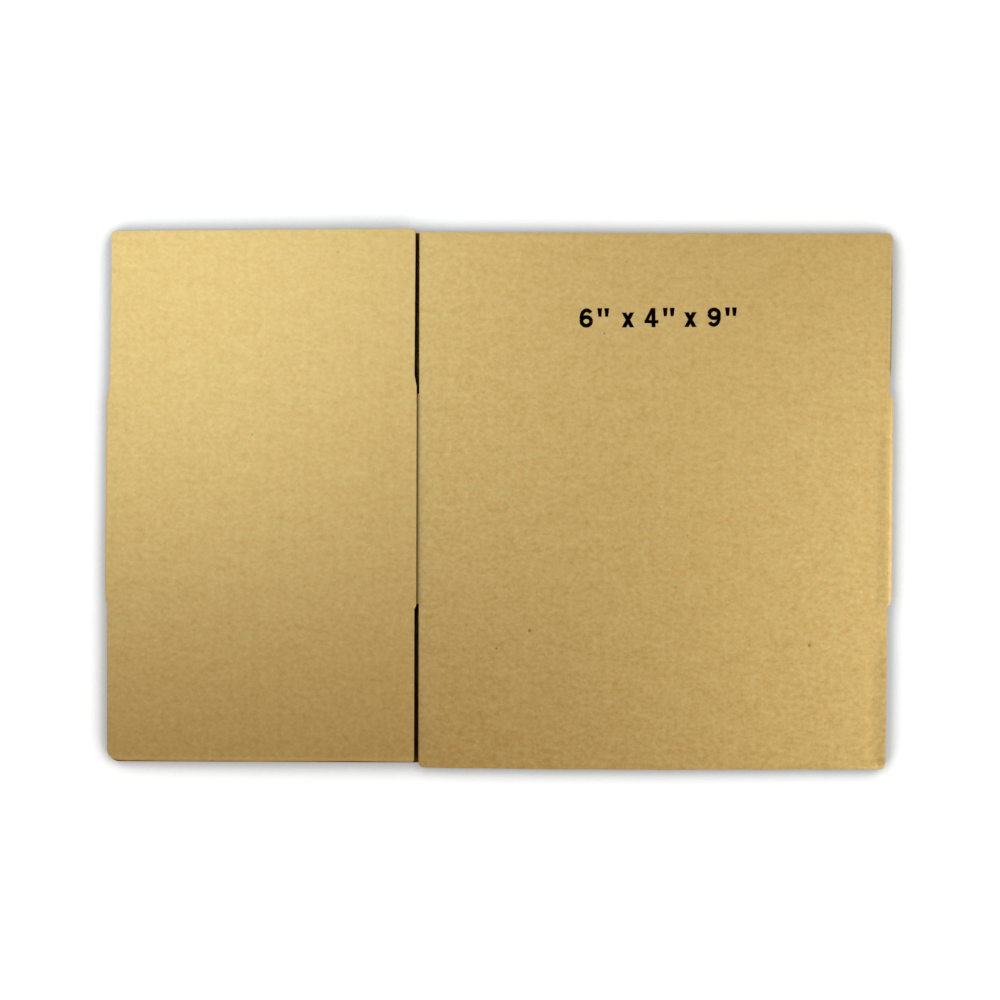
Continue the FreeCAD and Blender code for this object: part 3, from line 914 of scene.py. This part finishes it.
glueTab = {
    "length": 0.03175,
    "rootInset": 0.0020,
    "slid": 0.0008,
    "taper": 0.0115,
    "dipLength": 0.0014,
    "closeEnd": 0.0030,     # rows are closer together up to here from the seam
    "farStart": 0.0034,     # and further apart from here
    "rows": (14, 40),       # numbers of both
    "columns": 60,
    "washboard": 0.00003,
    "film": 0.0002,
    "placeShift": (0.11, 0.0),
}


# The tab: its upper liner leaves the long panel's face, dips into the seam and runs on as a crushed wedge
def makeTab():
    closer, further = glueTab["rows"]
    closerRows = np.linspace(0, glueTab["closeEnd"], closer)
    furtherRows = np.linspace(glueTab["farStart"], glueTab["length"], further)
    run = np.concatenate([closerRows, furtherRows])
    across = np.linspace(-1, 1, glueTab["columns"])
    away, share = np.meshgrid(run, across)
    middleY = (longTopScore + longBottomScore) / 2 + glueTab["slid"]
    half = lowerScore - glueTab["rootInset"] - glueTab["taper"] * away / glueTab["length"]
    x = seamX - away
    y = middleY + share * half
    under = upperZ + riseSlope * (x + edgeX) - glueTab["film"]
    dip = np.clip(away / glueTab["dipLength"], 0, 1)
    dip = dip * dip * (3 - 2 * dip)
    startZ = surfaceZ - paper["edgeCrush"]
    top = startZ + (under - startZ) * dip + glueTab["washboard"] * np.sin(fluteAngle(x)) * dip
    bottom = upperZ + 0 * x
    turned = [grid[:, ::-1] for grid in (x, y, top, bottom)]
    part = thinSheet(*turned, faceSlot, cutSlot)
    piece = makePiece("glueTab", [part], boardMaterials, glueTab["placeShift"])
    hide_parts("folded_sheet")
    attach(piece, "folded_sheet")


makeTab()
glueNode = frame["nodes"]["joint_glue"]
glueNode.data.materials.clear()
glueNode.data.materials.append(makeSpotted("driedGlue", glueLook))

print("stage: size numbers")

sizePrint = {
    "corner": (0.0392, 0.0845),   # lower left corner of the first figure
    "height": 0.00957,
    "stroke": 0.205,              # share of the height
    "turn": math.radians(0.6),
    "proud": 0.00002,
    "layerStep": 0.2,             # how much more each next stroke of a figure stands proud
    "film": 0.00003,
    "steps": 9,                   # fewest points along a stroke
    "arcPoints": 40,
    "across": 5,
    # Each figure with its start along the line, counted in heights
    "figures": [
        ("six", 0.0), ("inch", 0.92), ("cross", 2.17), ("four", 3.35),
        ("inch", 4.295), ("cross", 5.39), ("nine", 6.59), ("inch", 7.50),
    ],
}


# Points on an ellipse between two angles in degrees
def ellipseArc(middle, radii, start, end):
    angle = np.radians(np.linspace(start, end, sizePrint["arcPoints"]))
    return np.stack([middle[0] + radii[0] * np.cos(angle), middle[1] + radii[1] * np.sin(angle)], axis=-1)


# Centre lines of a plain figure, one unit high, each with the widths of its two ends as shares of the
# stroke, and whether it is cut level
def figureStrokes(kind):
    edge = sizePrint["stroke"] / 2
    if kind in ("six", "nine"):
        bowl = ellipseArc((0.35, 0.325), (0.35 - edge, 0.325 - edge), 0, 360)
        stem = ellipseArc((0.375, 0.5), (0.375 - edge, 0.5 - edge), 40, 205)
        if kind == "nine":
            bowl = np.array([0.70, 1.0]) - bowl
            stem = np.array([0.70, 1.0]) - stem
        return [(bowl, 1, 1, False), (stem, 1, 0.95, False)]
    if kind == "four":
        return [
            ([[0.465, 0.0], [0.465, 1.0]], 1, 1, True),
            ([[0.43, 0.99], [0.09, 0.30]], 0.95, 0.95, True),
            ([[0.0, 0.29], [0.72, 0.29]], 0.82, 0.82, False),
        ]
    if kind == "cross":
        return [
            ([[0.12, 0.0], [0.535, 0.77]], 1.15, 1.15, True),
            ([[0.535, 0.0], [0.12, 0.77]], 1.15, 1.15, True),
        ]
    return [
        ([[0.1275, 1.0], [0.135, 0.56]], 1.25, 0.75, True),
        ([[0.4900, 1.0], [0.4825, 0.56]], 1.25, 0.75, True),
    ]


# A ribbon of the given widths laid along a line, on the flap's face, as a closed film of ink
def strokeRibbon(line, startShare, endShare, level, layer):
    steps = np.linspace(0, 1, max(len(line), sizePrint["steps"]))
    known = np.linspace(0, 1, len(line))
    line = np.stack([np.interp(steps, known, line[:, 0]), np.interp(steps, known, line[:, 1])], axis=-1)
    tangent = np.gradient(line, axis=0)
    tangent = tangent / np.linalg.norm(tangent, axis=1)[:, None]
    normal = np.stack([-tangent[:, 1], tangent[:, 0]], axis=-1)
    if level:
        normal = np.stack([-np.sign(tangent[:, 1]), 0 * tangent[:, 0]], axis=-1)
    width = sizePrint["stroke"] * np.interp(steps, [0, 1], [startShare, endShare]) / 2
    sideways = np.linspace(1, -1, sizePrint["across"])
    grid = line[None, :, :] + sideways[:, None, None] * (normal * width[:, None])[None, :, :]
    turn = sizePrint["turn"]
    local = grid * sizePrint["height"]
    x = sizePrint["corner"][0] + local[..., 0] * math.cos(turn) - local[..., 1] * math.sin(turn)
    y = sizePrint["corner"][1] + local[..., 0] * math.sin(turn) + local[..., 1] * math.cos(turn)
    top, _ = boardHeights(x, y, upperBoards["longFlapTop"])
    top = top + sizePrint["proud"] * (1 + sizePrint["layerStep"] * layer)
    return thinSheet(x[::-1], y[::-1], top[::-1], top[::-1] - sizePrint["film"], 0, 0)


inkParts = []
for kind, offset in sizePrint["figures"]:
    for layer, (line, startShare, endShare, level) in enumerate(figureStrokes(kind)):
        inkParts.append(strokeRibbon(line + np.array([offset, 0.0]), startShare, endShare, level, layer))
inkPiece = makePiece("sizeNumbers", inkParts, [makeSpotted("blackInk", inkLook)])
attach(inkPiece, "long_flap_top")

print("stage: floor, lights and camera")

view = {
    "imageWidth": 1000,     # pixels
    "pixelsPerMetre": 2027.5,
    "height": 1.10,
    "roll": math.radians(0.25),
    "centre": (0.00035, -0.00064),
}

lamps = [
    {
        "name": "keyLight", "at": (-0.167, 0.083, 0.35), "aim": (-0.298, 0.40, 0.0), "size": 0.15,
        "watts": 1.928, "colour": (0.81, 1.0, 1.09),
    },
    {
        "name": "fillLight", "at": (0.329, -0.017, 0.35), "aim": (0.40, -0.154, 0.0), "size": 0.15,
        "watts": 1.751, "colour": (0.87, 1.0, 1.02),
    },
]

surroundings = {"colour": (1.0, 0.53, 0.03), "atHorizon": 0.825}

floorLook = {
    "side": 6.0,
    "grey": 0.80,
    "samples": 8,
    "reach": 0.021,         # how far from the object its painted contact shadow shows
    "lit": 0.10,            # share of the real light in what the camera sees
    "open": (0.50, 0.95),   # openness of the floor beside the object and just clear of it
    "bend": 2.0,            # power that bends the step between those two
    "sideways": 0.22,       # how much deeper the painted shadow is on the left and right
    "sideStep": 0.004,      # width over which it gets deeper there, up to the object's side
    "seen": (0.365, 0.75),  # brightness shown beside the object, where it paints the shadow, and how much is added clear of it
}


# A pale floor that the camera sees as white, with a painted contact shadow: its shown brightness is lower
# where ambient occlusion finds the object close by, and lower still at the left and right
def makeFloor():
    material, tree, output = newMaterial("paleFloor")
    diffuse, seen = newNode(tree, "BsdfDiffuse"), newNode(tree, "BsdfDiffuse")
    for node, grey in ((diffuse, floorLook["grey"]), (seen, floorLook["lit"])):
        feed(node.inputs["Color"], (grey, grey, grey, 1))
    # Painted contact shadow: the shown brightness follows the ambient occlusion
    share = addOpenness(tree, floorLook)
    share = addMath(tree, "POWER", share, floorLook["bend"])
    place = newNode(tree, "TexCoord")
    split = newNode(tree, "SeparateXYZ")
    feed(split.inputs[0], place.outputs["Object"])
    # The painted shadow is made deeper at the left and right by the floor's own position
    step = floorLook["sideStep"]
    aside = addMath(tree, "SUBTRACT", addMath(tree, "ABSOLUTE", split.outputs[0]), sheetHigh[0] - step)
    aside = addMath(tree, "DIVIDE", aside, step, clamp=True)
    closing = addMath(tree, "SUBTRACT", 1.0, share)
    deeper = addMath(tree, "MULTIPLY_ADD", aside, floorLook["sideways"], 1.0)
    share = addMath(tree, "SUBTRACT", 1.0, addMath(tree, "MULTIPLY", closing, deeper), clamp=True)
    shown = addMath(tree, "MULTIPLY_ADD", share, floorLook["seen"][1], floorLook["seen"][0])
    paintedShadowGlow = newNode(tree, "Emission")
    feed(paintedShadowGlow.inputs["Strength"], shown)
    both = newNode(tree, "AddShader")
    feed(both.inputs[0], seen.outputs[0])
    feed(both.inputs[1], paintedShadowGlow.outputs[0])
    splitSeen(tree, diffuse, both, output)
    mesh = bpy.data.meshes.new("floor")
    side = floorLook["side"]
    corners = np.array([[-1, -1, 0], [1, -1, 0], [1, 1, 0], [-1, 1, 0]]) * side
    mesh.from_pydata(corners, [], [[0, 1, 2, 3]])
    mesh.materials.append(material)
    floor = newObject("floor", mesh)


# A square soft light aimed at a point on the floor
def makeLamp(settings):
    lamp = bpy.data.lights.new(settings["name"], "AREA")
    lamp.shape = "SQUARE"
    lamp.size = settings["size"]
    lamp.energy = settings["watts"]
    lamp.color = settings["colour"]
    holder = newObject(settings["name"], lamp)
    holder.location = settings["at"]
    direction = Vector(settings["aim"]) - Vector(settings["at"])
    holder.rotation_euler = direction.to_track_quat("-Z", "Y").to_euler()
    holder.visible_camera = False


# Soft light that comes mostly from low down all round, and a white background for the camera
def makeSurroundings():
    world = bpy.data.worlds.new("studio")
    bpy.context.scene.world = world
    world.use_nodes = True
    tree = world.node_tree
    tree.nodes.clear()
    output = newNode(tree, "OutputWorld")
    place = newNode(tree, "TexCoord")
    direction = newNode(tree, "SeparateXYZ")
    feed(direction.inputs[0], place.outputs["Generated"])
    low = addMath(tree, "SUBTRACT", 1.0, direction.outputs[2], clamp=True)
    light = newNode(tree, "Background")
    feed(light.inputs["Color"], (*surroundings["colour"], 1))
    feed(light.inputs["Strength"], addMath(tree, "MULTIPLY", low, surroundings["atHorizon"]))
    seen = newNode(tree, "Background")
    feed(seen.inputs["Color"], (1, 1, 1, 1))
    feed(seen.inputs["Strength"], 1.0)
    splitSeen(tree, light, seen, output)


makeFloor()
for settings in lamps:
    makeLamp(settings)
makeSurroundings()

camera = bpy.data.cameras.new("camera")
camera.sensor_width = 36.0
away = view["height"] - surfaceZ
camera.lens = camera.sensor_width * away * view["pixelsPerMetre"] / view["imageWidth"]
cameraHolder = newObject("camera", camera)
cameraHolder.location = (view["centre"][0], view["centre"][1], view["height"])
cameraHolder.rotation_euler = (0, 0, view["roll"])
bpy.context.scene.camera = cameraHolder
bpy.context.scene.view_settings.view_transform = "Standard"

bpy.context.view_layer.update()
